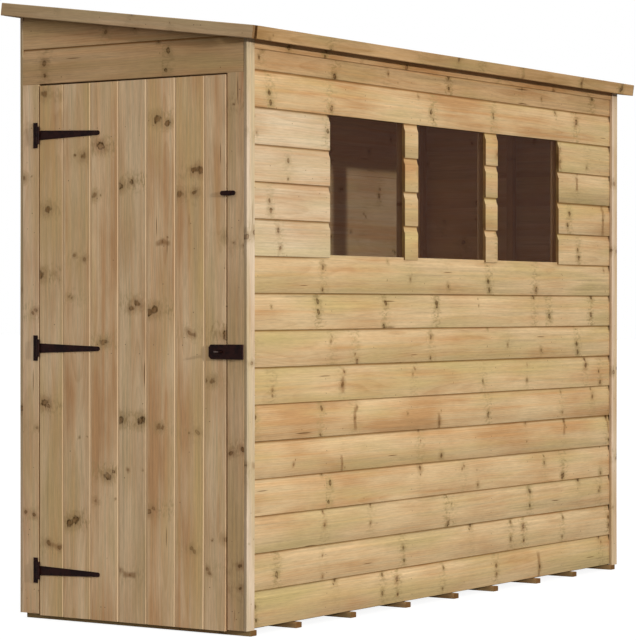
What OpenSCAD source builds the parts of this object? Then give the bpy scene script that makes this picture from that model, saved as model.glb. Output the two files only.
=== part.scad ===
// Lean-to garden shed of shiplap boards on a light timber frame.
// Origin at the ground under the middle of the roof, door end towards -X, window wall towards -Y.

/* [Walls] */
// Length over the end boards
shed_l = 2408; // [2000:8:3200]
// Depth over the corner strips
shed_w = 882; // [740:2:1400]
// Height of one shiplap row, lip to lip
cover = 112; // [108:1:130]
// Rows of boards on the low window wall
front_rows = 16; // [16:1:18]
// Rows that the back wall stands higher
rise_rows = 1; // [1:1:2]
// Thickness of the wall boards
board_t = 12; // [10:0.5:18]
// Depth of the cove along a board's top edge
cove_d = 6; // [4:0.5:8]
// Height of the cove
cove_h = 24; // [16:1:36]
// Height of the tongue behind the next board's lip
tongue_h = 8; // [4:1:12]
// Play between a tongue and the lip over it
lap_play = 0.4; // [0.2:0.1:1]
// Width of a corner strip
strip_w = 41; // [34:1:60]
// Thickness of a corner strip
strip_t = 12; // [8:0.5:18]
// Height of the batten under the eave
batten_h = 50; // [30:1:60]
// Thickness of the batten under the eave
batten_t = 8; // [5:0.5:12]
// Side of the square frame timber
stud = 28; // [24:1:45]

/* [Windows] */
// Distance of the first window from the door end
window_in = 468; // [300:2:560]
// Distance of the last window from the far end
far_window_in = 438; // [300:2:520]
// Width of the boards between two windows
mullion_w = 82; // [70:1:110]
// Rows of boards under the windows
sill_rows = 10; // [8:1:10]
// Rows of boards beside the windows
window_rows = 4; // [3:1:4]
// Thickness of the glazing sheet
glass_t = 3; // [2:0.5:6]
// Lap of the glazing behind the boards
glass_lap = 9; // [6:0.5:14]

/* [Floor] */
// Width of a bearer
bearer_w = 32; // [28:1:60]
// Height of a bearer
bearer_h = 17; // [14:1:60]
// Setback of the bearers' back ends
bearer_back = 13; // [0:1:60]
// Height of the wall boards' bottom edge over the bearers
board_up = 3; // [0:0.5:10]
// Thickness of the floor boards
deck_t = 12; // [9:0.5:20]
// Setback of the floor from the back of the end boards
deck_setback = 6; // [5:0.5:12]

/* [Roof] */
// Reach of the bargeboards past the end boards
end_overhang = 40; // [20:1:80]
// Reach of the roof past the window wall, along the slope
front_overhang = 55; // [40:1:120]
// Reach of the roof past the back wall, along the slope
back_overhang = 43; // [30:1:120]
// Thickness of the roof boards
roof_board_t = 11; // [9:0.5:20]
// Thickness of the mineral felt
felt_t = 2; // [1.5:0.5:4]
// Thickness of the fascias and bargeboards
fascia_t = 12; // [9:0.5:20]
// Depth of the fascias and bargeboards
fascia_d = 40; // [34:1:90]
// Rise of the fascias over the felt
fascia_lip = 3; // [0:0.5:10]
// Open joint between an eave fascia and a bargeboard
fascia_gap = 4; // [1:0.5:8]
// Setback of the bargeboards' low ends behind the eave fascia's face
barge_back = 6; // [0:0.5:11]
// Depth of the roof purlin
purlin_d = 45; // [30:1:70]

/* [Door] */
// Height of the boards over the door, at the low corner
header_h = 124; // [90:1:200]
// Height of the door's foot over the ground
door_foot = 13; // [10:1:40]
// Gap all round the door
door_gap = 5; // [5:0.5:8]
// Width of the upright board beside the hinges
hinge_board_w = 64; // [56:1:80]
// Width of the upright board beside the latch
latch_board_w = 60; // [56:1:80]
// Number of boards in the door
door_boards_n = 7; // [5:1:9]
// Width of the joint cut between two door boards
groove_w = 9; // [3:0.5:12]
// Depth of the joint cut between two door boards
groove_d = 3; // [1:0.5:5]
// Height of a ledge across the back of the door
ledge_h = 70; // [50:1:100]
// Thickness of the ledges and braces
ledge_t = 20; // [15:0.5:27]
// Distance of the ledges' ends from the door's edges
ledge_in = 14; // [10:1:40]
// Width of a brace along a ledge
brace_w = 80; // [60:1:110]

/* [Hinges] */
// Height of the lower hinge over the door's foot
low_hinge_up = 141; // [110:1:280]
// Depth of the upper hinge under the door's top
top_hinge_down = 156; // [120:1:300]
// Height of the middle hinge over halfway between the other two
mid_hinge_up = 15.5; // [0:0.5:60]
// Length of a hinge strap from its pin
strap_l = 244; // [180:1:320]
// Height of a hinge strap at its root
strap_root = 30; // [24:1:40]
// Height of a hinge strap at its round tip
strap_tip = 14; // [10:1:20]
// Height of a hinge plate
plate_h = 80; // [70:1:110]
// Width of a hinge plate
plate_w = 17; // [14:1:30]
// Thickness of the black metal
metal_t = 2.5; // [2:0.25:3.5]
// Radius of a knuckle
knuckle_r = 5; // [4:0.25:6]
// Radius of a hinge pin
pin_r = 2.5; // [1.5:0.25:3]
// Height of each of a plate's two knuckles
plate_knuckle = 12; // [8:1:20]

/* [Hasp] */
// Drop of the hasp's middle under the middle hinge
hasp_drop = 5; // [0:1:300]
// Height of the hasp
hasp_h = 45; // [36:1:60]
// Distance of the hasp's pin from the latch board's outer edge
hasp_in = 2.5; // [0:0.5:24]
// Distance of the leaf's end from the latch board's inner edge
leaf_in = 3; // [2:0.5:10]
// Cut at the corners of the strap's free end
hasp_cut = 8; // [4:0.5:12]
// Metal left in the strap past its slot
hasp_web = 24.5; // [16:0.5:30]
// Play between the strap and the plates that it lies over
hasp_play = 1; // [0.6:0.1:1.5]
// Distance of the staple from the door's edge
staple_in = 22.5; // [18:0.5:60]
// Radius of the staple's bar
staple_bar = 2.5; // [2:0.25:3]
// Radius of the staple's bend
staple_bend = 9; // [8:0.5:10]
// Straight length of the staple's legs
staple_leg = 12; // [10:0.5:16]

/* [Turn button] */
// Depth of the button under the door's top
button_down = 356; // [240:1:600]
// Length of the button
button_l = 52; // [48:1:60]
// Width of the button
button_w = 14; // [10:0.5:18]
// Thickness of the button
button_t = 7; // [4:0.5:10]
// Distance of its screw from the latch board's edge
button_in = 14; // [12:0.5:18]
// Distance of its screw from its short end
button_tail = 17; // [12:0.5:20]
// Play behind the button
button_play = 2; // [1:0.25:4]

/* [Hidden] */
$fn = 48;

// Overrun of a cut past the face that it opens
over = 2;
// Hair gap between the walls and the roof that rests on them
roof_seat = 0.3;
// Hair gap between the boards and what is nailed to them
frame_seat = 0.1;
// Running gap round a pin
pin_play = 0.08;
// Gap between two knuckles on one pin
knuckle_play = 0.5;
// Reach of the hinge pins' axis in front of the boards
axis_out = knuckle_r + knuckle_play;
// Gap round the staple in the strap's slot
slot_play = 2.5;
// Straight facets in one cove
cove_steps = 6;
// Windows in a row
window_n = 3;
// Places of the bearers, as shares of the run from the first to the last
bearer_shares = [0, 0.103, 0.235, 0.376, 0.508, 0.623, 0.753, 0.87, 1];
// Widths of the door's two edge boards, latch side first, as shares of a full board
edge_shares = [0.73, 0.86];
// Uprights of the back wall
back_stud_n = 4;

// Pitch of the roof, set by the extra rows over the depth between the two walls' edges
pitch = atan(rise_rows * cover / (shed_w - 2 * strip_t - board_t));
// Top of the fascias, square to the slope, over the underside of the roof boards
fascia_top = roof_board_t + felt_t + fascia_lip;
// Height over the roof's underside that a cut to its slope clears
roof_clear = (rise_rows + 2) * cover;
// The roof's edges along the slope, from the window wall's top edge
slope_front = -(strip_t + front_overhang);
slope_back = (shed_w - strip_t) / cos(pitch) + back_overhang;
roof_half = shed_l / 2 + end_overhang;

// Depth-wise places, with the roof's outer edges balanced about the origin
roof_y_low = strip_t + slope_front * cos(pitch) - fascia_top * sin(pitch);
roof_y_high = strip_t + slope_back * cos(pitch) - (fascia_top - fascia_d) * sin(pitch);
y_face = -(roof_y_low + roof_y_high) / 2;
y_boards = y_face + strip_t;
y_frame = y_boards + board_t + frame_seat;
y_room = y_frame + stud;
y_back_face = y_face + shed_w;
y_back_boards = y_back_face - strip_t;
y_back_frame = y_back_boards - board_t - frame_seat;
y_back_room = y_back_frame - stud;

// Length-wise places
x_door = -shed_l / 2;
x_far = shed_l / 2;
x_door_frame = x_door + board_t + frame_seat;
x_far_frame = x_far - board_t - frame_seat;
x_door_room = x_door_frame + stud;
x_far_room = x_far_frame - stud;

// Heights
z_boards = bearer_h + board_up;
z_deck = bearer_h + deck_t;
front_top = z_boards + front_rows * cover;
back_top = front_top + rise_rows * cover;
z_sill = z_boards + sill_rows * cover;
z_lintel = z_sill + window_rows * cover;
z_glass_low = z_sill - glass_lap / 2;
z_glass_high = z_lintel + tongue_h + glass_lap / 2;

// The cove is an arc that ends upright under the next board's lip
cove_r = (cove_h * cove_h + cove_d * cove_d) / (2 * cove_d);
cove_angle = asin(cove_h / cove_r);

// The door fills the opening between the boards beside it and those over it
y_latch_edge = y_boards + latch_board_w;
y_latch = y_latch_edge + door_gap;
y_hinge = y_back_boards - hinge_board_w - door_gap;
door_w = y_hinge - y_latch;
z_header = front_top - header_h;
z_door_top = z_header - door_gap;
door_h = z_door_top - door_foot;

// What hangs on the door, and what holds it shut
x_pin = x_door - axis_out;
y_pin = y_hinge + door_gap / 2;
low_hinge_z = door_foot + low_hinge_up;
top_hinge_z = z_door_top - top_hinge_down;
mid_hinge_z = (low_hinge_z + top_hinge_z) / 2 + mid_hinge_up;
y_hasp_pin = y_boards + hasp_in;
y_staple = y_latch + staple_in;
hasp_z = mid_hinge_z - hasp_drop;
y_button = y_latch_edge - button_in;
button_z = z_door_top - button_down;
hinge_heights = [low_hinge_z, mid_hinge_z, top_hinge_z];
ledge_bays = [[low_hinge_z, mid_hinge_z], [mid_hinge_z, top_hinge_z]];

module block(low, high) {
    translate(low) cube(high - low);
}

// Points up one cove that ends at height z
function cove(z) = [
    for (i = [0:cove_steps])
        let (a = cove_angle * (1 - i / cove_steps))
        [cove_d - cove_r + cove_r * cos(a), z - cove_r * sin(a)]
];

// Face of a stack of shiplap rows: each one is flat, then coved under the next one's lip
function stack_face(rows, head) = [
    for (k = [0:rows - 1])
        let (coved = k < rows - 1 || head)
        each concat([[0, k * cover]], coved ? cove((k + 1) * cover) : [[0, rows * cover]])
];

// Section of a stack of rows, with a tongue at its head and a lip at its foot where another stack meets it
function stack_outline(rows, foot, head) =
    let (top = rows * cover, tongue_top = top + tongue_h)
    let (lip_top = tongue_h + lap_play, lip_t = cove_d - lap_play)
    concat(
        stack_face(rows, head),
        head ? [[cove_d, tongue_top], [board_t, tongue_top]] : [[board_t, top]],
        foot ? [[board_t, lip_top], [lip_t, lip_top], [lip_t, 0]] : [[board_t, 0]]
    );

// Rows of boards that run along X and face -Y
module long_boards(x0, x1, z, rows, foot, head) {
    translate([x0, y_boards, z])
        rotate([90, 0, 90]) linear_extrude(x1 - x0) polygon(stack_outline(rows, foot, head));
}

// Rows of boards that run along Y and face -X, at the door end
module end_boards(z, rows) {
    translate([x_door, y_back_boards, z])
        rotate([90, 0, 0])
            linear_extrude(y_back_boards - y_boards) polygon(stack_outline(rows, false, false));
}

// The roof's own plane: X along the eave, Y up the slope, Z = 0 at the underside of its boards
module on_roof() {
    translate([0, y_boards, front_top + roof_seat]) rotate([pitch, 0, 0]) children();
}

module roof_block(low, high) {
    on_roof() block(low, high);
}

// What stands under the roof is cut to its slope
module under_roof() {
    difference() {
        children();
        roof_block([-roof_half, slope_front, -roof_seat], [roof_half, slope_back, roof_clear]);
    }
}

module upright(x0, y0, z0, z1) {
    block([x0, y0, z0], [x0 + stud, y0 + stud, z1]);
}

module floor_bearers() {
    first = x_door_frame + deck_setback;
    run = x_far_frame - deck_setback - bearer_w - first;
    color("burlywood")
        for (share = bearer_shares)
            translate([first + share * run, y_face, 0])
                cube([bearer_w, shed_w - bearer_back, bearer_h]);
}

module floor_deck() {
    color("tan")
        block([x_door_frame + deck_setback, y_frame, bearer_h],
              [x_far_frame - deck_setback, y_back_frame, z_deck]);
}

window_w = (shed_l - window_in - far_window_in - (window_n - 1) * mullion_w) / window_n;
windows_end = x_far - far_window_in;

function window_x(i) = x_door + window_in + i * (window_w + mullion_w);

module front_boards_below() {
    color("burlywood") long_boards(x_door_frame, x_far_frame, z_boards, sill_rows, false, true);
}

module front_boards_above() {
    color("burlywood")
        long_boards(x_door_frame, x_far_frame, z_lintel, front_rows - sill_rows - window_rows, true, false);
}

module front_boards_left() {
    color("wheat") long_boards(x_door_frame, window_x(0), z_sill, window_rows, true, true);
}

module front_boards_right() {
    color("wheat") long_boards(windows_end, x_far_frame, z_sill, window_rows, true, true);
}

module window_mullions() {
    color("wheat")
        for (i = [0:window_n - 2])
            long_boards(window_x(i) + window_w, window_x(i + 1), z_sill, window_rows, true, true);
}

// The sheet laps behind the boards on all four sides
module window_sheet(i) {
    color("dimgray", 0.4)
        block([window_x(i) - glass_lap, y_frame, z_glass_low],
              [window_x(i) + window_w + glass_lap, y_frame + glass_t, z_glass_high]);
}

module near_window() {
    window_sheet(0);
}

module middle_window() {
    window_sheet(1);
}

module far_window() {
    window_sheet(2);
}

// Uprights of the window wall: one at each end, one beside each outer window, a wide one at each mullion
module front_studs() {
    low = z_deck + stud;
    high = front_top - stud;
    color("peru") {
        for (x = [x_door_room, window_x(0) - glass_lap - stud, windows_end + glass_lap, x_far_room - stud])
            upright(x, y_frame, low, high);
        for (i = [0:window_n - 2])
            block([window_x(i) + window_w + glass_lap, y_frame, low],
                  [window_x(i + 1) - glass_lap, y_room, high]);
    }
}

module front_rails() {
    color("peru")
        for (z = [z_deck, front_top - stud])
            block([x_door_room, y_frame, z], [x_far_room, y_room, z + stud]);
}

module window_rails() {
    color("peru")
        for (i = [0:window_n - 1], z = [z_glass_low - stud, z_glass_high])
            block([window_x(i) - glass_lap, y_frame, z],
                  [window_x(i) + window_w + glass_lap, y_room, z + stud]);
}

module back_boards() {
    color("burlywood")
        translate([0, 2 * y_face + shed_w, 0])
            mirror([0, 1, 0])
                long_boards(x_door_frame, x_far_frame, z_boards, front_rows + rise_rows, false, false);
}

// Height of the walls' sloping top edge at a depth y
function slope_z(y) = front_top + (y - y_boards) * tan(pitch);

// The back wall's top rail follows the slope, so its uprights stop under the rail's low edge
back_rail_z = slope_z(y_back_room) - stud;

module back_studs() {
    span = x_far_room - stud - x_door_room;
    color("peru")
        for (i = [0:back_stud_n - 1])
            upright(x_door_room + i * span / (back_stud_n - 1), y_back_room, z_deck + stud, back_rail_z);
}

module back_rails() {
    color("peru") {
        block([x_door_room, y_back_room, z_deck], [x_far_room, y_back_frame, z_deck + stud]);
        under_roof() block([x_door_room, y_back_room, back_rail_z], [x_far_room, y_back_frame, back_top]);
    }
}

module door_header() {
    rows = ceil((back_top - z_header) / cover);
    color("burlywood") under_roof() end_boards(z_header, rows);
}

module hinge_board() {
    color("burlywood")
        block([x_door, y_hinge + door_gap, bearer_h], [x_door + board_t, y_back_boards, z_header]);
}

module latch_board() {
    color("burlywood") block([x_door, y_boards, bearer_h], [x_door + board_t, y_latch_edge, z_header]);
}

module door_posts() {
    color("peru")
        under_roof()
            for (y = [y_frame, y_back_room])
                upright(x_door_frame, y, z_deck, back_top);
}

module door_head_rail() {
    color("peru")
        block([x_door_frame, y_room, z_header + tongue_h],
              [x_door_room, y_back_room, z_header + tongue_h + stud]);
}

module far_end_boards() {
    color("burlywood") mirror([1, 0, 0]) under_roof() end_boards(z_boards, front_rows + rise_rows);
}

module far_end_studs() {
    mid = (y_room + y_back_room - stud) / 2;
    color("peru") {
        under_roof()
            for (y = [y_frame, y_back_room])
                upright(x_far_room, y, z_deck, back_top);
        upright(x_far_room, mid, z_deck + stud, slope_z(mid) - stud / cos(pitch));
    }
}

module far_end_rail() {
    color("peru") block([x_far_room, y_room, z_deck], [x_far_frame, y_back_room, z_deck + stud]);
}

// Sloping rails between the corner posts, under the roof at both ends
module end_top_rails() {
    color("peru")
        for (x = [x_door_frame, x_far_room])
            intersection() {
                block([x, y_room, front_top - cover], [x + stud, y_back_room, back_top]);
                roof_block([x, slope_front, -roof_seat - stud], [x + stud, slope_back, -roof_seat]);
            }
}

module corner_strips(y0, y1) {
    color("blanchedalmond")
        under_roof()
            for (x = [x_door, x_far - strip_w])
                block([x, y0, bearer_h], [x + strip_w, y1, back_top + strip_t]);
}

module front_corner_strips() {
    corner_strips(y_face, y_boards - frame_seat);
}

module back_corner_strips() {
    corner_strips(y_back_boards + frame_seat, y_back_face);
}

module eave_batten() {
    color("blanchedalmond")
        under_roof()
            block([x_door + strip_w, y_boards - batten_t, front_top - batten_h],
                  [x_far - strip_w, y_boards - frame_seat, front_top]);
}

// The roof boards and the felt reach the inner faces of the fascias
module roof_sheet(low, thick) {
    roof_block([fascia_t - roof_half, slope_front + fascia_t, low],
               [roof_half - fascia_t, slope_back - fascia_t, low + thick]);
}

module roof_deck() {
    color("tan") roof_sheet(0, roof_board_t);
}

module roof_felt() {
    color("darkslategray") roof_sheet(roof_board_t, felt_t);
}

module roof_purlin() {
    mid = (slope_front + slope_back) / 2;
    color("peru")
        roof_block([x_door_room, mid - stud / 2, -purlin_d], [x_far_room, mid + stud / 2, 0]);
}

// A board along the eave or the back edge, between the two bargeboards
module fascia(slope_low) {
    half = roof_half - fascia_t - fascia_gap;
    color("burlywood")
        roof_block([-half, slope_low, fascia_top - fascia_d], [half, slope_low + fascia_t, fascia_top]);
}

module eave_fascia() {
    fascia(slope_front);
}

module back_fascia() {
    fascia(slope_back - fascia_t);
}

module bargeboard(x) {
    color("burlywood")
        roof_block([x, slope_front + barge_back, fascia_top - fascia_d],
                   [x + fascia_t, slope_back, fascia_top]);
}

module door_end_bargeboard() {
    bargeboard(-roof_half);
}

module far_end_bargeboard() {
    bargeboard(roof_half - fascia_t);
}

// Plan of the door: its outer face is cut by a joint at every board's edge, and the edge boards are narrower
door_cover = door_w / (door_boards_n - 2 + edge_shares[0] + edge_shares[1]);

function door_joint(i) =
    let (y = (i - 1 + edge_shares[0]) * door_cover)
    [[0, y - groove_w / 2], [groove_d, y], [0, y + groove_w / 2]];

module door_boards() {
    outline = concat(
        [[0, 0]],
        [for (i = [1:door_boards_n - 1]) each door_joint(i)],
        [[0, door_w], [board_t, door_w], [board_t, 0]]
    );
    color("burlywood")
        translate([x_door, y_latch, door_foot]) linear_extrude(door_h) polygon(outline);
}

module door_ledges() {
    color("tan")
        for (z = hinge_heights)
            block([x_door_frame, y_latch + ledge_in, z - ledge_h / 2],
                  [x_door_frame + ledge_t, y_hinge - ledge_in, z + ledge_h / 2]);
}

// Each brace rises from the hinge side, so that the door hangs from its foot
module door_braces() {
    y0 = y_latch + ledge_in;
    y1 = y_hinge - ledge_in;
    color("tan")
        for (bay = ledge_bays)
            translate([x_door_frame, 0, 0])
                rotate([90, 0, 90])
                    linear_extrude(ledge_t)
                        polygon([
                            [y1, bay[0] + ledge_h / 2], [y1 - brace_w, bay[0] + ledge_h / 2],
                            [y0, bay[1] - ledge_h / 2], [y0 + brace_w, bay[1] - ledge_h / 2]
                        ]);
}

// Black metal leaf on the door end's face: an outline in Y and Z, raised towards -X
module leaf(out) {
    translate([x_door - out - metal_t, 0, 0]) rotate([90, 0, 90]) linear_extrude(metal_t) children();
}

module knuckle(y, z0, z1, r) {
    translate([x_pin, y, z0]) cylinder(r = r, h = z1 - z0);
}

module rect(low, high) {
    translate(low) square(high - low);
}

// Half the height of a hinge strap's knuckle, and of the stack with the plate's two
strap_half = strap_root / 2;
plate_half = strap_half + knuckle_play + plate_knuckle;

module hinge_plate(z) {
    edge = y_pin + knuckle_r + knuckle_play;
    leaf(0) {
        rect([edge, z - plate_h / 2], [edge + plate_w, z + plate_h / 2]);
        rect([y_pin, z + strap_half + knuckle_play], [edge + over, z + plate_half]);
        rect([y_pin, z - plate_half], [edge + over, z - strap_half - knuckle_play]);
    }
    knuckle(y_pin, z + strap_half + knuckle_play, z + plate_half, knuckle_r);
    knuckle(y_pin, z - plate_half, z - strap_half - knuckle_play, knuckle_r);
    knuckle(y_pin, z - plate_half, z + plate_half, pin_r);
}

module hinge_plates() {
    color("black")
        for (z = hinge_heights)
            hinge_plate(z);
}

module hinge_strap(z) {
    tip = y_pin - strap_l + strap_tip / 2;
    difference() {
        union() {
            leaf(0) {
                polygon([
                    [y_pin, z - strap_half], [y_pin, z + strap_half],
                    [tip, z + strap_tip / 2], [tip, z - strap_tip / 2]
                ]);
                translate([tip, z]) circle(d = strap_tip);
            }
            knuckle(y_pin, z - strap_half, z + strap_half, knuckle_r);
        }
        knuckle(y_pin, z - strap_half - over, z + strap_half + over, pin_r + pin_play);
    }
}

module hinge_straps() {
    color("black")
        for (z = hinge_heights)
            hinge_strap(z);
}

// The hasp's three knuckles share its height: the strap has the middle one
hasp_third = hasp_h / 3;
// Half the length of the strap's slot over the staple, which is that of the staple's plate too
slot_half = staple_bend + staple_bar + slot_play;
// Edge of the leaf and of the strap beside the knuckles
y_hasp_edge = y_hasp_pin + knuckle_r + knuckle_play;

// The leaf is screwed to the latch board, and the strap covers it when it is shut
module hasp_leaf() {
    low = hasp_z - hasp_h / 2;
    high = hasp_z + hasp_h / 2;
    color("black") {
        leaf(0) {
            rect([y_hasp_edge, low], [y_latch_edge - leaf_in, high]);
            rect([y_hasp_pin, low], [y_hasp_edge + over, low + hasp_third - knuckle_play]);
            rect([y_hasp_pin, high - hasp_third + knuckle_play], [y_hasp_edge + over, high]);
        }
        knuckle(y_hasp_pin, low, low + hasp_third - knuckle_play, knuckle_r);
        knuckle(y_hasp_pin, high - hasp_third + knuckle_play, high, knuckle_r);
        knuckle(y_hasp_pin, low, high, pin_r);
    }
}

// The strap crosses the door's edge, and the staple stands through its slot
module hasp_strap() {
    end = y_staple + slot_half + hasp_web;
    half = hasp_h / 2 - knuckle_play;
    slot_r = staple_bar + slot_play;
    color("black")
        difference() {
            union() {
                leaf(metal_t + hasp_play)
                    difference() {
                        union() {
                            polygon([
                                [y_hasp_edge, hasp_z - half], [end - hasp_cut, hasp_z - half],
                                [end, hasp_z - half + hasp_cut], [end, hasp_z + half - hasp_cut],
                                [end - hasp_cut, hasp_z + half], [y_hasp_edge, hasp_z + half]
                            ]);
                            rect([y_hasp_pin, hasp_z - hasp_third / 2],
                                 [y_hasp_edge + over, hasp_z + hasp_third / 2]);
                        }
                        rect([y_staple - slot_half + slot_r, hasp_z - slot_r],
                             [y_staple + slot_half - slot_r, hasp_z + slot_r]);
                        for (s = [-1, 1])
                            translate([y_staple + s * (slot_half - slot_r), hasp_z]) circle(r = slot_r);
                    }
                knuckle(y_hasp_pin, hasp_z - hasp_third / 2, hasp_z + hasp_third / 2, knuckle_r);
            }
            knuckle(y_hasp_pin, hasp_z - hasp_h, hasp_z + hasp_h, pin_r + pin_play);
        }
}

// A bent bar that stands out of its plate on the door, for a padlock's shackle
module hasp_staple() {
    bend_x = x_door - metal_t - staple_leg;
    color("black") {
        leaf(0)
            rect([y_staple - slot_half, hasp_z - hasp_third], [y_staple + slot_half, hasp_z + hasp_third]);
        translate([bend_x, y_staple, hasp_z]) {
            rotate([0, 0, 90])
                rotate_extrude(angle = 180) translate([staple_bend, 0]) circle(r = staple_bar);
            for (s = [-1, 1])
                translate([0, s * staple_bend, 0])
                    rotate([0, 90, 0]) cylinder(r = staple_bar, h = staple_leg + metal_t / 2);
        }
    }
}

// The screw's shank carries the button, and its head keeps it on
module button_screw() {
    shank = button_play + button_t + knuckle_play;
    color("black")
        translate([x_door, y_button, button_z])
            rotate([0, -90, 0]) {
                cylinder(r = pin_r, h = shank + metal_t);
                cylinder(r = knuckle_r, h = button_play - knuckle_play);
                translate([0, 0, shank]) cylinder(r = knuckle_r, h = metal_t);
            }
}

module turn_button() {
    r = button_w / 2;
    color("black")
        translate([x_door - button_play - button_t, y_button, button_z])
            rotate([90, 0, 90])
                linear_extrude(button_t)
                    difference() {
                        union() {
                            rect([r - button_tail, -r], [button_l - button_tail - r, r]);
                            translate([r - button_tail, 0]) circle(r = r);
                            translate([button_l - button_tail - r, 0]) circle(r = r);
                        }
                        circle(r = pin_r + pin_play);
                    }
}

floor_bearers();
floor_deck();
front_boards_below();
front_boards_above();
front_boards_left();
front_boards_right();
window_mullions();
near_window();
middle_window();
far_window();
front_studs();
front_rails();
window_rails();
back_boards();
back_studs();
back_rails();
door_header();
hinge_board();
latch_board();
door_posts();
door_head_rail();
far_end_boards();
far_end_studs();
far_end_rail();
end_top_rails();
front_corner_strips();
back_corner_strips();
eave_batten();
roof_deck();
roof_felt();
roof_purlin();
eave_fascia();
back_fascia();
door_end_bargeboard();
far_end_bargeboard();
door_boards();
door_ledges();
door_braces();
hinge_plates();
hinge_straps();
hasp_leaf();
hasp_strap();
hasp_staple();
button_screw();
turn_button();
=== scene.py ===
import math
import random

import bmesh
import bpy
from mathutils import Matrix, Vector


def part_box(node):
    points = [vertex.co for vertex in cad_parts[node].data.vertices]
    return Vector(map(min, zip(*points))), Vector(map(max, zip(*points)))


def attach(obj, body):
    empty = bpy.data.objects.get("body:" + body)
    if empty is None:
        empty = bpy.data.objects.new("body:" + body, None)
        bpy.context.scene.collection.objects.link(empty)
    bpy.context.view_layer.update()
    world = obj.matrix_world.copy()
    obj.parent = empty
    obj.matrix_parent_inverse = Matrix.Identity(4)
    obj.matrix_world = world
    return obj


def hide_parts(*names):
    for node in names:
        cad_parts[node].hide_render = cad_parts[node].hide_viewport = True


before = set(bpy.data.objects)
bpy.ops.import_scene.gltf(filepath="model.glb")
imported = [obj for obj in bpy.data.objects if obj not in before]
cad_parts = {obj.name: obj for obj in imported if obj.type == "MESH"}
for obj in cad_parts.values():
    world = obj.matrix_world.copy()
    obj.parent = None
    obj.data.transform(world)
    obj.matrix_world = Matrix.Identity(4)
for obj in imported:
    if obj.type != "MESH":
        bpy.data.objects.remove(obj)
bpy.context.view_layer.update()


# Floor bearers: short lengths of sawn, pressure-treated pine laid across the shed's depth.
# The floor is nailed down on them, and their sawn ends show under the window wall.

X, Y, Z = Vector((1, 0, 0)), Vector((0, 1, 0)), Vector((0, 0, 1))
grade = random.Random(11)
sawn_edge = 0.0012
station_gap = 0.16
log_length = 90
sway_waves, bow_waves = (2.9, 6.1), (2.3, 5.3)
crease = math.radians(12)


class Wire:
    """An output of a shader tree: sums on it add Math nodes, and node() adds any other kind."""

    def __init__(self, tree, socket=None):
        self.tree = tree
        self.socket = socket

    def node(self, kind, settings=None, links=None, out=0):
        made = self.tree.nodes.new("ShaderNode" + kind)
        for key, value in (settings or {}).items():
            setattr(made, key, value)
        for key, value in (links or {}).items():
            if isinstance(value, Wire):
                self.tree.links.new(value.socket, made.inputs[key])
            else:
                made.inputs[key].default_value = value
        return Wire(self.tree, made.outputs[out])

    def sum(self, operation, first, second=0.0):
        return self.node("Math", {"operation": operation}, {0: first, 1: second})

    def __add__(self, other):
        return self.sum("ADD", self, other)

    __radd__ = __add__

    def __sub__(self, other):
        return self.sum("SUBTRACT", self, other)

    def __rsub__(self, other):
        return self.sum("SUBTRACT", other, self)

    def __mul__(self, other):
        return self.sum("MULTIPLY", self, other)

    __rmul__ = __mul__

    def __truediv__(self, other):
        return self.sum("DIVIDE", self, other)

    def __pow__(self, other):
        return self.sum("POWER", self, other)

    def __abs__(self):
        return self.sum("ABSOLUTE", self)

    def parts(self):
        split = self.node("SeparateXYZ", {}, {0: self}).socket.node
        return [Wire(self.tree, socket) for socket in split.outputs]

    def stretch(self, along, across, depth):
        return self.node("VectorMath", {"operation": "MULTIPLY"}, {0: self, 1: (along, across, depth)})

    def cloud(self, detail=2.0, rough=0.5):
        return self.node("TexNoise", {}, {"Vector": self, "Scale": 1.0, "Detail": detail, "Roughness": rough})

    def fade(self, start, end):
        """One before start, smoothly down to nothing at end; the other way round if end comes first."""
        ends = {"Value": self, "From Min": start, "From Max": end, "To Min": 1.0, "To Max": 0.0}
        return self.node("MapRange", {"interpolation_type": "SMOOTHSTEP"}, ends)

    def mix(self, factor, first, second, way="MIX"):
        settings = {"data_type": "RGBA", "blend_type": way}
        return self.node("Mix", settings, {0: factor, 6: first, 7: second}, out=2)


def dye(red, green, blue):
    """A colour as seen on the wood, from 0 to 255, as the shader's linear one."""
    return tuple(((c / 255 + 0.055) / 1.055) ** 2.4 if c > 10 else c / 3295 for c in (red, green, blue)) + (1.0,)


def new_finish(name):
    finish = bpy.data.materials.new(name)
    finish.use_nodes = True
    shader = finish.node_tree.nodes["Principled BSDF"]
    return finish, Wire(finish.node_tree), shader


def wire_up(finish, shader, color, roughness, height, bump_depth):
    """Joins the colour, the roughness and a bump of that depth to the shader."""
    tree = finish.node_tree
    bump = color.node("Bump", {}, {"Strength": 1.0, "Distance": bump_depth, "Height": height})
    tree.links.new(color.socket, shader.inputs["Base Color"])
    tree.links.new(roughness.socket, shader.inputs["Roughness"])
    tree.links.new(bump.socket, shader.inputs["Normal"])
    return finish


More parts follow.
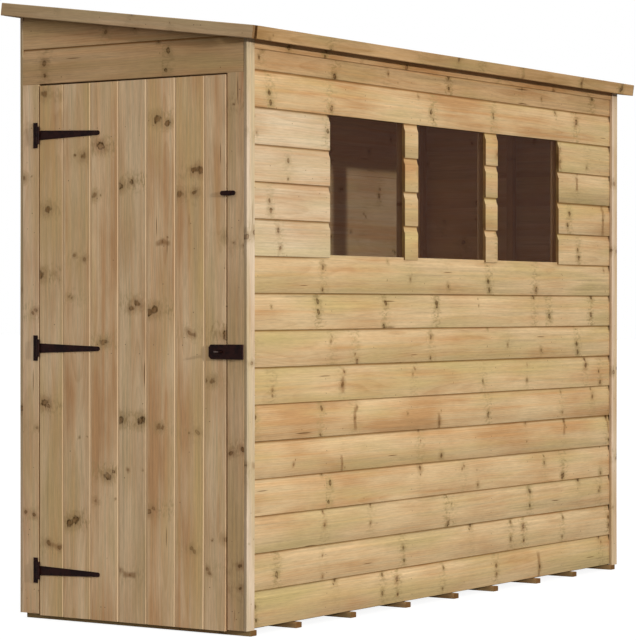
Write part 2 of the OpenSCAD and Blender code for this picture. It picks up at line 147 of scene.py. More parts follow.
def pine(name, sap, heart, green, knot, streaks=1.0, knots=1.0, joint_shade=0.0, bevel=0.0, knot_size=1.0, foot_shade=0.0):
    """Pine cut lengthwise from a log: rings that wander along the board and flow round whorls of knots.
    The joint level paints shade into a shiplap joint under the lip above, the bevel level paints a highlight on the
    faces of a cut V, and the foot level paints shade that darkens the lower part of a wall board."""
    ring_gap, whorl_gap, knot_r = 0.0058, 0.31, 0.0082 * knot_size
    knot_fray = 0.009 * knot_size * knot_size
    tongue_depth = 0.0062
    foot_shade_from, foot_shade_to = -0.06, 0.012
    finish, wood, shader = new_finish(name)
    grain = wood.node("Attribute", {"attribute_name": "grain"}, out="Vector")
    along, across, depth = grain.parts()
    light, hue, pith = wood.node("Attribute", {"attribute_name": "tone"}, out="Vector").parts()
    sawn = wood.node("Attribute", {"attribute_name": "sawn"}, out="Fac")
    cut = wood.node("Attribute", {"attribute_name": "cut"}, out="Fac")
    lip_shade = wood.node("Attribute", {"attribute_name": "lip_shade"}, out="Fac")

    # Knots: one whorl to each stretch of the board, with two branches cut at a slant, or one split along its length
    whorl = wood.node("TexVoronoi", {"voronoi_dimensions": "1D"}, {"W": along / whorl_gap, "Scale": 1.0}).socket.node
    place = Wire(wood.tree, whorl.outputs["W"])
    dice = Wire(wood.tree, whorl.outputs["Color"]).parts()
    more = wood.node("TexWhiteNoise", {"noise_dimensions": "1D"}, {"W": place}, out="Color").parts()
    ragged = grain.stretch(70, 70, 20).cloud(3.0) - 0.5
    reach = along - place * whorl_gap
    first_y = across - (dice[0] - 0.5) * 0.1
    second_y = across - (dice[1] - 0.5) * 0.11
    first_x = reach + first_y * (more[2] - 0.5) * 0.5
    second_x = reach - (more[1] - 0.5) * 0.03 + second_y * (dice[2] - 0.5) * 0.5
    first = (first_x * first_x + first_y * first_y * 0.8) ** 0.5 + ragged * knot_fray
    second = (second_x * second_x + second_y * second_y * 0.7) ** 0.5 + ragged * knot_fray
    first_r = (dice[2] * 0.75 + 0.15) * knot_r
    second_r = (more[0] * 0.8 + 0.06) * knot_r
    ratio = wood.sum("MINIMUM", first / first_r, second / second_r)
    spike_x = abs(reach - abs(first_y) * (more[0] - 0.3) * 0.9 + ragged * 0.014)
    spike_end = (abs(first_y) / (more[2] * 0.05 + 0.03)).fade(0.6, 1.0)
    flare = abs(first_y) * (dice[1] - 0.4) * 0.16
    spike = (spike_x - flare).fade(0.001, 0.013) * spike_end * more[1].fade(0.9, 0.88) * knots
    core = ratio.fade(0.55, 1.15) * knots
    rim = abs(ratio - 0.95).fade(0.05, 0.5) * knots
    halo = ratio.fade(0.8, 4.2) * knots
    mottle = grain.stretch(46, 120, 60).cloud(3.0, 0.6)
    swirl = abs(reach + ragged * 0.06).fade(0.005, 0.046) * mottle.fade(0.62, 0.42) * more[0] * knots
    pin = wood.node("TexVoronoi", {"voronoi_dimensions": "2D"}, {"Vector": grain, "Scale": 26.0}).socket.node
    pin_dice = Wire(wood.tree, pin.outputs["Color"]).parts()[0]
    pin_dot = Wire(wood.tree, pin.outputs["Distance"]).fade(0.02, 0.07) * pin_dice.fade(0.975, 0.965) * knots

    # Drying checks: a few short cracks along the board
    streak = grain.stretch(1.2, 24, 1)
    checks = wood.node("TexVoronoi", {"voronoi_dimensions": "2D"}, {"Vector": streak, "Scale": 1.0})
    check_dice = Wire(wood.tree, checks.socket.node.outputs["Color"]).parts()
    check_r = check_dice[1] * 0.04 + 0.03
    crack = (checks / check_r).fade(0.4, 1.0) * check_dice[0].fade(0.83, 0.81) * knots

    # Rings about a pith that lies behind the face, with broad and narrow bands and fine fibres along the board
    wander = grain.stretch(0.9, 5, 5).cloud(2.0) - 0.5
    pith_y = across - (pith - 0.5) * 0.16
    pith_z = depth + hue * 0.09 + 0.018
    radius = (pith_y * pith_y + pith_z * pith_z) ** 0.5
    ring = (radius + wander * 0.07 + halo * 0.012) / ring_gap
    late = wood.sum("FRACT", ring)
    late = late * late * (1.0 - late.fade(1.0, 0.9))
    bands = grain.stretch(0.8, 38, 38).cloud(2.0) - 0.5
    lines = grain.stretch(1.6, 120, 120).cloud(2.0) - 0.5
    fibre = grain.stretch(7, 520, 520).cloud(2.0, 0.6) - 0.5
    fleck = grain.stretch(26, 300, 300).cloud(3.0, 0.6) - 0.5
    blotch = grain.stretch(2.6, 9, 9).cloud(3.0) - 0.5
    patch = grain.stretch(1.9, 13, 9).cloud(2.0) - 0.5

    warm = late * 0.24 + (bands * 1.6 + lines * 1.1) * streaks + blotch * 2.3 + (light - 0.5) * 0.5 + 0.38
    color = wood.mix(wood.node("Clamp", {}, {0: warm}), sap, heart)
    mossy = patch * 3.0 + (hue - 0.5) * 0.5 + 0.16
    color = wood.mix(wood.node("Clamp", {}, {0: mossy}), color, green)
    tan = tuple(0.7 * h + 0.3 * k for h, k in zip(heart, knot))
    branch = tuple(0.4 * h + 0.6 * k for h, k in zip(heart, knot))
    dark = tuple(0.4 * k for k in knot[:3]) + (1.0,)
    moss = tuple(0.62 * g + 0.38 * k for g, k in zip(green, knot))
    color = wood.mix(swirl * 0.8, color, moss)
    color = wood.mix(halo * 0.6, color, wood.mix(more[2], tan, moss))
    color = wood.mix(spike * 0.66, color, branch)
    color = wood.mix(crack * 0.8, color, knot)
    color = wood.mix(core * (dice[2] * 0.4 + 0.3) * (mottle * 1.3 + 0.35), color, knot)
    color = wood.mix(rim * more[0] * (mottle * 2.4 - 0.5), color, dark)
    color = wood.mix(pin_dot * 0.75, color, knot)
    shade = fibre * 0.35 + fleck * 0.4 + (lines * 0.7 + bands * 0.4) * streaks
    shade = shade + blotch * 0.25 + (light - 0.5) * 0.2 + 1.0
    color = wood.mix(1.0, color, shade * (1.0 - sawn * late * 0.3), "MULTIPLY")
    # Painted highlight: the sloped faces of a cut V are lightened towards the sap colour, more on lighter boards.
    color = wood.mix(cut * (light * 0.5 + 0.5) * bevel, color, sap)
    # Painted shade: the joint under the lip of the board above is darkened to a deep brown, except over a stretch
    # that no lip laps.
    joint_shade_mask = abs(depth + tongue_depth).fade(0.0002, 0.0007) * lip_shade * joint_shade
    color = wood.mix(joint_shade_mask, color, wood.mix(1.0, color, (0.42, 0.3, 0.14, 1.0), "MULTIPLY"))
    # Painted shade: the lower part of each wall board is darkened, more on some boards than on others.
    foot_shade_mask = across.fade(foot_shade_from, foot_shade_to) * (pith * 0.2 + 0.06) * foot_shade
    color = wood.mix(1.0, color, 1.0 - foot_shade_mask, "MULTIPLY")
    color = wood.mix(sawn, color, wood.mix(1.0, color, (0.5, 0.4, 0.3, 1.0), "MULTIPLY"))

    height = fibre * 0.6 + late * 0.25 - core * 0.35 - rim * 0.3
    roughness = 0.7 + late * 0.08 - core * 0.12 + fibre * 0.15
    shader.inputs["Specular IOR Level"].default_value = 0.06
    return wire_up(finish, shader, color, roughness, height, 0.0004)


class Lumber:
    """The boards of one piece; each is sawn from its own log, so no two have the same grain."""

    def __init__(self):
        self.mesh = bmesh.new()
        self.grain = self.mesh.verts.layers.float_vector.new("grain")
        self.tone = self.mesh.verts.layers.float_vector.new("tone")
        self.lip_shade = self.mesh.verts.layers.float.new("lip_shade")
        self.sawn = self.mesh.faces.layers.float.new("sawn")
        self.cut = self.mesh.faces.layers.float.new("cut")

    def lay(self, section, start, end, face, warp=0.0004, ripped=0.0, unshaded_span=None):
        """One board between two points; its section is (across, out) points, and face is the way that it looks.
        Its joint gets no painted shade over the stretch where no lip laps over it."""
        length = (end - start).length
        along = (end - start).normalized()
        across = face.cross(along)
        middle = (min(p[0] for p in section) + max(p[0] for p in section)) / 2
        log = grade.uniform(0, log_length)
        tone = Vector((grade.random(), grade.random(), grade.random()))
        turns = [grade.uniform(0, math.tau) for _ in range(4)]
        stations = max(2, round(length / station_gap) + 1)
        rings = []
        for i in range(stations):
            t = length * i / (stations - 1)
            sway = warp * (math.sin(sway_waves[0] * t + turns[0]) + 0.5 * math.sin(sway_waves[1] * t + turns[1]))
            bow = warp * (math.sin(bow_waves[0] * t + turns[2]) + 0.5 * math.sin(bow_waves[1] * t + turns[3]))
            ring = []
            for a, out in section:
                vert = self.mesh.verts.new(start + along * t + across * (a + sway) + face * (out + bow))
                vert[self.grain] = Vector((log + t, a - middle, out))
                vert[self.tone] = tone
                # Painted shade in the joint is left out over the stretch that no lip laps.
                vert[self.lip_shade] = 0.0 if unshaded_span and unshaded_span[0] <= t <= unshaded_span[1] else 1.0
                ring.append(vert)
            rings.append(ring)
        for low, high in zip(rings, rings[1:]):
            for i in range(len(section)):
                j = (i + 1) % len(section)
                side = self.mesh.faces.new((low[i], low[j], high[j], high[i]))
                level = section[i][1] == section[j][1]
                upright = section[i][0] == section[j][0]
                back = level and section[i][1] < 0 < ripped
                side[self.sawn] = 1.0 if back else ripped if upright else 0.0
                side[self.cut] = 0.0 if level or upright else 1.0
        for ring in (rings[0], rings[-1]):
            self.mesh.faces.new(ring)[self.sawn] = 1.0

    def timber(self, low, high, ease, warp=0.0):
        """A squared length between two corners, with its grain along its longest side."""
        size = high - low
        thin, wide, long = sorted(range(3), key=lambda i: size[i])
        face, middle = Vector(), (low + high) / 2
        face[thin] = 1
        start, end = middle.copy(), middle.copy()
        start[thin] = end[thin] = high[thin]
        start[long], end[long] = low[long], high[long]
        self.lay(squared(size[wide], size[thin], ease), start, end, face, warp)

    def trim(self, point, normal):
        """Cuts off all that stands past a plane, and leaves a sawn face."""
        mesh = self.mesh
        everything = mesh.verts[:] + mesh.edges[:] + mesh.faces[:]
        bmesh.ops.bisect_plane(mesh, geom=everything, dist=1e-6, plane_co=point, plane_no=normal, clear_outer=True)
        rims = [e for e in mesh.edges if e.is_boundary]
        for f in bmesh.ops.holes_fill(mesh, edges=rims, sides=0)["faces"]:
            f[self.sawn] = 1.0

    def piece(self, name, finish, body, slot, *nodes):
        bmesh.ops.recalc_face_normals(self.mesh, faces=self.mesh.faces)
        return stand_in(self.mesh, name, finish, body, slot, *nodes)


def stand_in(mesh, name, finish, body, slot, *nodes):
    """Makes an object of a mesh, on its body and in place of its CAD nodes."""
    data = bpy.data.meshes.new(name)
    mesh.to_mesh(data)
    mesh.free()
    data.shade_smooth()
    data.set_sharp_from_angle(angle=crease)
    data.materials.append(finish)
    made = bpy.data.objects.new(name, data)
    bpy.context.scene.collection.objects.link(made)
    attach(made, body)
    if nodes:
        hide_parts(*nodes)
    return made


def squared(width, thick, ease):
    """Section of a board with eased edges, centred across, its face at zero."""
    half = width / 2
    return [
        (ease - half, 0), (half - ease, 0), (half, -ease), (half, ease - thick),
        (half - ease, -thick), (ease - half, -thick), (-half, ease - thick), (-half, -ease),
    ]


def solids(node):
    """Lowest and highest corners of each separate timber in a CAD node."""
    mesh = bmesh.new()
    mesh.from_mesh(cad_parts[node].data)
    bmesh.ops.remove_doubles(mesh, verts=mesh.verts, dist=1e-6)
    left, found = set(mesh.verts), []
    while left:
        edge = [left.pop()]
        group = []
        while edge:
            vert = edge.pop()
            group.append(vert.co.copy())
            near = {e.other_vert(vert) for e in vert.link_edges} & left
            left -= near
            edge += near
        found.append((Vector(map(min, *group)), Vector(map(max, *group))))
    mesh.free()
    return sorted(found, key=lambda pair: tuple(pair[0]))


sawn_pine = pine("sawn pine", dye(190, 154, 106), dye(142, 106, 66), dye(150, 130, 86), dye(84, 54, 28), 1.0, 0.6)
bearers = Lumber()
for low, high in solids("floor_bearers"):
    bearers.timber(low, high, sawn_edge)
bearers.piece("bearers", sawn_pine, "shed", "floor_timber", "floor_bearers")


# Floor boards: tongued pine boards that run the length of the shed, nailed to the bearers.
# A hair of a gap shows at each joint.

floor_board_w = 0.112
floor_joint = 0.0008

low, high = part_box("floor_deck")
rows = round((high.y - low.y) / floor_board_w)
row_w = (high.y - low.y) / rows
floor_boards = Lumber()
for i in range(rows):
    middle = low.y + (i + 0.5) * row_w
    section = squared(row_w - floor_joint, high.z - low.z, sawn_edge)
    floor_boards.lay(section, Vector((low.x, middle, high.z)), Vector((high.x, middle, high.z)), Z, 0.0)
floor_boards.piece("floor_boards", sawn_pine, "shed", "floor_timber", "floor_deck")


# Wall frame: square sawn pine studs and rails, nailed together into panels behind the boards.
# The posts and the top rails are cut to the slope of the roof.

frame_pine = pine("frame pine", dye(198, 158, 108), dye(152, 110, 66), dye(160, 136, 88), dye(86, 54, 28), 1.0, 0.7)
board_t = 0.012
wall_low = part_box("front_boards_below")[0]
wall_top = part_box("front_boards_above")[1].z
back_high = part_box("back_boards")[1]
pitch = math.atan2(back_high.z - wall_top, back_high.y - board_t - wall_low.y)
roof = Matrix.Translation((0, wall_low.y, wall_top)) @ Matrix.Rotation(pitch, 4, "X")
roof_up = roof.to_3x3() @ Z

wall_frame = Lumber()
for node in (
    "front_studs", "front_rails", "window_rails", "back_studs", "door_head_rail", "far_end_rail", "door_posts",
    "far_end_studs", "back_rails",
):
    for low, high in solids(node):
        wall_frame.timber(low, high, sawn_edge)
low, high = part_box("end_top_rails")
rail = solids("door_head_rail")[0]
rail_w = rail[1].z - rail[0].z
for x in (low.x + rail_w / 2, high.x - rail_w / 2):
    foot = roof @ Vector((x, (low.y - wall_low.y) / math.cos(pitch), 0))
    head = roof @ Vector((x, (high.y - wall_low.y) / math.cos(pitch), 0))
    wall_frame.lay(squared(rail_w, rail_w, sawn_edge), foot, head, roof_up, 0.0)
wall_frame.trim(roof @ Vector(), roof_up)
wall_frame.piece(
    "wall_frame", frame_pine, "shed", "frame_timber", "front_studs", "front_rails", "window_rails", "back_studs",
    "back_rails", "door_posts", "door_head_rail", "far_end_studs", "far_end_rail", "end_top_rails",
)


# Window wall: coved shiplap, planed from pine, each board's lip lapped over the tongue of the one below.
# Ten rows run the full length, four stop at the windows, and two more run over them; nailed at the studs.
# The short boards by the door are paler than the rest, and the top one takes a darker copy of the colours, painted
# shade for the eave's soft shadow.

cover = 0.112
cove_d, cove_h, cove_steps = 0.006, 0.024, 8
tongue_h, lap_play = 0.008, 0.0004
lip_round = 0.0013
board_set = 0.0006
sill_rows, window_rows = 10, 4
glass_lap = 0.009
nail_r, nail_h = 0.0015, 0.0003
nail_sides, nail_taper = 10, 0.7
nail_shares = (0.22, 0.66)
nail_drift_x, nail_drift_z = 0.004, 0.006

# Its joints and the lower part of each board carry painted shade.
wall_pine = pine(
    "wall pine", dye(224, 192, 145), dye(182, 140, 94), dye(195, 171, 116), dye(94, 58, 16), joint_shade=0.8, foot_shade=1.0
)


def shiplap(lapped, tongued):
    """Section of one shiplap board, from its foot up, with its face at zero."""
    back = lap_play - cove_d if lapped else -board_t
    points = [(0, back), (0, -lip_round), (lip_round, 0)]
    if tongued:
        radius = (cove_h ** 2 + cove_d ** 2) / (2 * cove_d)
        sweep = math.asin(cove_h / radius)
        for i in range(cove_steps + 1):
            a = sweep * (1 - i / cove_steps)
            points.append((cover - radius * math.sin(a), radius * (1 - math.cos(a)) - cove_d))
        points += [(cover + tongue_h, -cove_d), (cover + tongue_h, -board_t)]
    else:
        points += [(cover - lip_round, 0), (cover, -lip_round), (cover, -board_t)]
    if lapped:
        points += [(tongue_h + lap_play, -board_t), (tongue_h + lap_play, back)]
    return points


def clad(boards, start, end, face, lapped, tongued, unshaded_span=None):
    """One row of shiplap, set a hair out of true as boards are."""
    off = Z * grade.uniform(-board_set, board_set) + face * grade.uniform(-board_set, 0)
    boards.lay(shiplap(lapped, tongued), start + off, end + off, face, unshaded_span=unshaded_span)


class Nails:
    """Low round heads, punched in with their tops just proud of the wood."""

    def __init__(self):
        self.mesh = bmesh.new()

    def drive(self, place, face, radius=nail_r, rise=nail_h):
        turn = face.to_track_quat("Z", "Y").to_matrix().to_4x4()
        spot = Matrix.Translation(place + face * rise / 2) @ turn
        bmesh.ops.create_cone(
            self.mesh, cap_ends=True, segments=nail_sides, radius1=radius, radius2=nail_taper * radius, depth=rise,
            matrix=spot,
        )


def steel(name, bright, dull, roughness):
    """Plain wire steel, dulled in patches."""
    finish, metal, shader = new_finish(name)
    spot = metal.node("TexCoord", {}, {}, out="Object")
    stain = spot.stretch(420, 420, 420).cloud(3.0)
    color = metal.mix(stain.fade(0.65, 0.35), bright, dull)
    shader.inputs["Metallic"].default_value = 0.6
    return wire_up(finish, shader, color, roughness + stain * 0.2, stain, 0.0001)


nail_steel = steel("nail steel", dye(136, 106, 72), dye(88, 64, 42), 0.5)

below_low, below_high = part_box("front_boards_below")
panes = [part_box(node) for node in ("near_window", "middle_window", "far_window")]
bays = [below_low.x]
for pane_low, pane_high in panes:
    bays += [pane_low.x + glass_lap, pane_high.x - glass_lap]
bays.append(below_high.x)
top_row = round((wall_top - below_low.z) / cover) - 1
stud_lines = [(low.x + high.x) / 2 for low, high in solids("front_studs")]

short_pine = pine(
    "short pine", dye(220, 196, 160), dye(183, 149, 112), dye(196, 176, 134), dye(104, 68, 26), joint_shade=0.8
)
# A darker copy of the wall's colours: painted shade for the eave's soft shadow over the top board and batten.
eave_shaded_pine = pine("eave shaded pine", dye(206, 168, 121), dye(165, 119, 73), dye(178, 149, 95), dye(88, 52, 14), joint_shade=0.55)
short_boards, top_boards, window_wall = Lumber(), Lumber(), Lumber()
wall_nails = Nails()
for row in range(top_row + 1):
    foot = Vector((0, below_low.y, below_low.z + row * cover))
    beside = sill_rows <= row < sill_rows + window_rows
    spans = list(zip(bays[::2], bays[1::2])) if beside else [(bays[0], bays[-1])]
    for x0, x1 in spans:
        boards = top_boards if row == top_row else window_wall
        if beside and x0 == bays[0]:
            boards = short_boards
        # Under the windows no board laps the sill row, so its joint gets no painted shade there.
        unshaded_span = (bays[1] - x0, bays[-2] - x0) if row == sill_rows - 1 else None
        clad(boards, foot + X * x0, foot + X * x1, -Y, row > 0, row < top_row, unshaded_span)
        for x in stud_lines:
            for share in nail_shares:
                drift_x = grade.uniform(-nail_drift_x, nail_drift_x)
                drift_z = grade.uniform(-nail_drift_z, nail_drift_z)
                if x0 < x < x1:
                    wall_nails.drive(foot + Vector((x + drift_x, 0, cover * share + drift_z)), -Y)
window_wall.piece(
    "window_wall", wall_pine, "shed", "wall_boards", "front_boards_below", "front_boards_above", "front_boards_right",
    "window_mullions",
)
short_boards.piece("short_boards", short_pine, "shed", "wall_boards", "front_boards_left")
top_boards.piece("top_board", eave_shaded_pine, "shed", "wall_boards", "front_boards_above")


# Glazing: three clear styrene sheets, bedded behind the boards and held by the frame.
# They are thin and a little hazy, and a dark brown veil on them is painted shade that darkens the room seen through
# them.

glass, pane, shader = new_finish("clear styrene")
haze = pane.node("TexCoord", {}, {}, out="Object").stretch(3, 3, 5).cloud(3.0)
# Painted shade: a dark brown veil over the clear sheet.
shader.inputs["Base Color"].default_value = dye(93, 61, 46)
shader.inputs["IOR"].default_value = 1.5
shader.inputs["Specular IOR Level"].default_value = 0.06
glass.node_tree.links.new((haze * 0.14 + 0.14).socket, shader.inputs["Alpha"])
glass.node_tree.links.new((haze * 0.1 + 0.06).socket, shader.inputs["Roughness"])
for node in ("near_window", "middle_window", "far_window"):
    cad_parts[node].data.materials.clear()
    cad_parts[node].data.materials.append(glass)


# Back wall and far end: the same shiplap, one row higher at the back and cut to the slope at the end.
# The rows run full length and are nailed at the studs. The back wall takes a paler copy of the wood's colours,
# painted light that lifts the lamp's patch on it, seen through the windows.

back_low, back_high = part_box("back_boards")
back_rows = round((back_high.z - back_low.z) / cover)
lifted_back_pine = pine("lifted back pine", dye(241, 211, 165), dye(200, 157, 108), dye(213, 187, 129), dye(104, 66, 20), joint_shade=0.8)
back_wall = Lumber()
for row in range(back_rows):
    foot = Vector((0, back_high.y, back_low.z + row * cover))
    clad(back_wall, foot + X * back_high.x, foot + X * back_low.x, Y, row > 0, row < back_rows - 1)
    for low, high in solids("back_studs"):
        for share in nail_shares:
            wall_nails.drive(foot + Vector(((low.x + high.x) / 2, 0, cover * share)), Y)
back_wall.piece("back_wall", lifted_back_pine, "shed", "wall_boards", "back_boards")

end_low, end_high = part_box("far_end_boards")
far_end = Lumber()
for row in range(back_rows):
    foot = Vector((end_high.x, 0, end_low.z + row * cover))
    clad(far_end, foot + Y * end_low.y, foot + Y * end_high.y, X, row > 0, row < back_rows - 1)
far_end.trim(roof @ Vector(), roof_up)
far_end.piece("far_end", wall_pine, "shed", "wall_boards", "far_end_boards")


# Door end: shiplap over the doorway, cut to the slope, and a plain upright board each side of the door.
# All are planed pine, nailed to the posts and the head rail.

end_ease = 0.0005
end_nails, end_nail_in, end_nail_half = 9, 0.06, 0.014
end_drift_y, end_drift_z = 0.004, 0.02

header_pine = pine(
    "header pine", dye(218, 178, 132), dye(174, 132, 90), dye(182, 153, 105), dye(98, 64, 28), joint_shade=0.8
)
hinge_pine = pine("hinge pine", dye(243, 211, 172), dye(196, 152, 113), dye(208, 178, 130), dye(112, 75, 34), 0.8)
latch_pine = pine("latch pine", dye(225, 190, 148), dye(181, 136, 97), dye(193, 160, 112), dye(104, 68, 30), 1.1)

head_low, head_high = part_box("door_header")
head_rows = math.ceil((back_high.z - head_low.z) / cover)
header = Lumber()
for row in range(head_rows):
    foot = Vector((head_low.x, 0, head_low.z + row * cover))
    clad(header, foot + Y * head_high.y, foot + Y * head_low.y, -X, row > 0, row < head_rows - 1)
header.trim(roof @ Vector(), roof_up)
header.piece("header", header_pine, "shed", "door_end_boards", "door_header")

for node, finish in (("hinge_board", hinge_pine), ("latch_board", latch_pine)):
    low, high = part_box(node)
    middle = (low.y + high.y) / 2
    section = squared(high.y - low.y, high.x - low.x, end_ease)
    upright = Lumber()
    upright.lay(section, Vector((low.x, middle, low.z)), Vector((low.x, middle, high.z)), -X)
    upright.piece(node + "_wood", finish, "shed", "door_end_boards", node)
    nail_step = (high.z - low.z - 2 * end_nail_in) / (end_nails - 1)
    for i in range(end_nails):
        for side in (-1, 1):
            y = middle + side * end_nail_half + grade.uniform(-end_drift_y, end_drift_y)
            z = low.z + end_nail_in + i * nail_step + grade.uniform(-end_drift_z, end_drift_z)
            if (i + side) % 3:
                wall_nails.drive(Vector((low.x, y, z)), -X)


# Corner strips and eave batten: pale planed pine that covers the ends of the boards and the top edge of the wall.
# They are nailed on last, over the shiplap, and cut to the roof.

upright_ease = 0.0015
trim_over = 0.05
strip_nails, strip_nail_in, strip_drift = 7, 0.08, 0.006
strip_saw_mark = 0.45
batten_warp = 0.0002

pale_pine = pine("pale pine", dye(230, 206, 177), dye(185, 152, 113), dye(198, 177, 136), dye(120, 80, 40), 0.8, 0.8)

strips = Lumber()
for node, face in (("front_corner_strips", -Y), ("back_corner_strips", Y)):
    for low, high in solids(node):
        front = low.y if face.y < 0 else high.y
        foot = Vector(((low.x + high.x) / 2, front, low.z))
        section = squared(high.x - low.x, high.y - low.y, upright_ease)
        strips.lay(section, foot, foot + Z * (high.z - low.z + trim_over), face, ripped=strip_saw_mark)
        nail_step = (high.z - low.z - 2 * strip_nail_in) / (strip_nails - 1)
        for i in range(strip_nails):
            drift = X * grade.uniform(-strip_drift, strip_drift)
            wall_nails.drive(foot + Z * (strip_nail_in + i * nail_step) + drift, face)
strips.trim(roof @ Vector(), roof_up)
strips.piece("corner_strips", pale_pine, "shed", "corner_timber", "front_corner_strips", "back_corner_strips")

low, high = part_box("eave_batten")
batten = Lumber()
middle = (low.z + high.z) / 2
section = squared(high.z - low.z, high.y - low.y, upright_ease)
batten.lay(section, Vector((low.x, low.y, middle)), Vector((high.x, low.y, middle)), -Y, batten_warp)
batten.trim(roof @ Vector(), roof_up)
# The batten is not pale: it takes the top board's darker colours, painted shade from the eave.
batten.piece("eave_batten_strip", eave_shaded_pine, "shed", "corner_timber", "eave_batten")


# Roof: sawn pine boards along the shed on the walls and one purlin, with mineral felt nailed over them.
# The felt is bitumen faced with crushed slate, laid as one width.

roof_board_w = 0.094
roof_joint = 0.0012
felt_nail_gap = 0.14
felt_nail_in = 0.022
felt_nail_r, felt_nail_h = 0.0045, 0.0008
grit_scale = 520.0

# Darker, browner colours than the other sawn pine: painted shade for the underside of the eaves.
eave_shade_roof_pine = pine("eave_shade roof pine", dye(172, 126, 72), dye(126, 84, 42), dye(132, 104, 58), dye(74, 44, 20), 1.1, 0.8)


def in_roof(node):
    """Lowest and highest corners of a CAD node along the roof's own axes."""
    flat = roof.inverted()
    corners = [flat @ v.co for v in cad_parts[node].data.vertices]
    return Vector(map(min, *corners)), Vector(map(max, *corners))


low, high = in_roof("roof_deck")
rows = round((high.y - low.y) / roof_board_w)
row_w = (high.y - low.y) / rows
roof_boards = Lumber()
for i in range(rows):
    middle = low.y + (i + 0.5) * row_w
    section = squared(row_w - roof_joint, high.z - low.z, sawn_edge)
    start, end = Vector((low.x, middle, high.z)), Vector((high.x, middle, high.z))
    roof_boards.lay(section, roof @ start, roof @ end, roof_up, 0.0)
roof_boards.piece("roof_boards", eave_shade_roof_pine, "shed", "roof_timber", "roof_deck")

low, high = in_roof("roof_purlin")
purlin = Lumber()
section = squared(high.y - low.y, high.z - low.z, sawn_edge)
middle = (low.y + high.y) / 2
start, end = Vector((low.x, middle, high.z)), Vector((high.x, middle, high.z))
purlin.lay(section, roof @ start, roof @ end, roof_up, 0.0)
purlin.piece("purlin", frame_pine, "shed", "frame_timber", "roof_purlin")

felt, slate, shader = new_finish("mineral felt")
spot = slate.node("TexCoord", {}, {}, out="Object")
grit = slate.node("TexVoronoi", {}, {"Vector": spot, "Scale": grit_scale}, out="Distance")
chips = slate.node("TexVoronoi", {}, {"Vector": spot, "Scale": grit_scale}, out="Color").parts()[0]
wear = spot.stretch(3, 5, 3).cloud(4.0)
color = slate.mix(chips, dye(40, 50, 44), dye(92, 102, 90))
color = slate.mix(wear.fade(0.7, 0.4), color, dye(74, 80, 70))
wire_up(felt, shader, color, chips * 0.15 + 0.8, (1.0 - grit) + wear * 0.6, 0.0008)
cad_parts["roof_felt"].data.materials.clear()
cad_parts["roof_felt"].data.materials.append(felt)

low, high = in_roof("roof_felt")
felt_nails = Nails()
for along, across in ((0, 1), (1, 0)):
    run = high[along] - low[along] - 2 * felt_nail_in
    count = round(run / felt_nail_gap)
    for i in range(count + 1):
        for edge in (low[across] + felt_nail_in, high[across] - felt_nail_in):
            place = Vector((0, 0, high.z))
            place[across] = edge
            place[along] = low[along] + felt_nail_in + i * run / count
            felt_nails.drive(roof @ place, roof_up, felt_nail_r, felt_nail_h)
clout_steel = steel("clout steel", dye(176, 178, 178), dye(120, 122, 122), 0.35)
stand_in(felt_nails.mesh, "felt_nails", clout_steel, "shed", "black_metal")


# Fascias and bargeboards: planed pine trim nailed round the edge of the roof, a little above the felt.
# The two long ones stop short of the sloping ones, and leave an open joint at each corner.

trim_ease = 0.0018
trim_warp = 0.0003
barge_nails, barge_first, barge_drift = 6, 0.2, 0.008

eave_pine = pine("honey pine", dye(196, 158, 112), dye(144, 110, 68), dye(160, 138, 88), dye(88, 56, 26), 1.1, 0.9)
barge_pine = pine("grey pine", dye(210, 178, 139), dye(170, 138, 102), dye(180, 159, 120), dye(94, 63, 35), 0.8, 0.8)

up_slope = roof.to_3x3() @ Y
fascias = Lumber()
for node, out in (("eave_fascia", -1), ("back_fascia", 1)):
    low, high = in_roof(node)
    front = low.y if out < 0 else high.y
    middle = (low.z + high.z) / 2
    ends = [Vector((low.x, front, middle)), Vector((high.x, front, middle))]
    section = squared(high.z - low.z, high.y - low.y, trim_ease)
    fascias.lay(section, roof @ ends[0], roof @ ends[1], out * up_slope, trim_warp)
fascias.piece("fascias", eave_pine, "shed", "fascia_timber", "eave_fascia", "back_fascia")

barges = Lumber()
for node, face in (("door_end_bargeboard", -X), ("far_end_bargeboard", X)):
    low, high = in_roof(node)
    front = low.x if face.x < 0 else high.x
    middle = (low.z + high.z) / 2
    ends = [Vector((front, low.y, middle)), Vector((front, high.y, middle))]
    section = squared(high.z - low.z, high.x - low.x, trim_ease)
    barges.lay(section, roof @ ends[0], roof @ ends[1], face, trim_warp)
    for i in range(barge_nails):
        share = (i + barge_first) / (barge_nails - 1 + 2 * barge_first)
        drift = roof_up * grade.uniform(-barge_drift, barge_drift)
        wall_nails.drive(roof @ ends[0].lerp(ends[1], share) + drift, face)
barges.piece("bargeboards", barge_pine, "shed", "fascia_timber", "door_end_bargeboard", "far_end_bargeboard")


# Door: seven planed pine boards, tongued together with a V joint between each two.
# It is nailed through to three ledges, and has bowed a little at the foot of its latch side.

door_boards_n = 7
edge_shares = (0.73, 0.86)
groove_half, groove_d = 0.0045, 0.003
door_ease = 0.0005
bow_foot, bow_head = 0.006, 0.002
door_warp = 0.0002
door_nail_spots = ((-0.25, 0.3), (0.25, 0.7))

# Its bevel level paints a highlight on the faces of each V joint.
door_pine = pine(
    "door pine", dye(237, 204, 161), dye(189, 145, 102), dye(204, 172, 119), dye(109, 71, 31), 1.1, bevel=0.8,
    knot_size=1.45,
)

low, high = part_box("door_boards")
hasp_low, hasp_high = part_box("hasp_leaf")
hasp_z = (hasp_low.z + hasp_high.z) / 2
full_w = (high.y - low.y) / (door_boards_n - 2 + sum(edge_shares))
plank_ws = [full_w * edge_shares[0]] + [full_w] * (door_boards_n - 2) + [full_w * edge_shares[1]]
thick = high.x - low.x


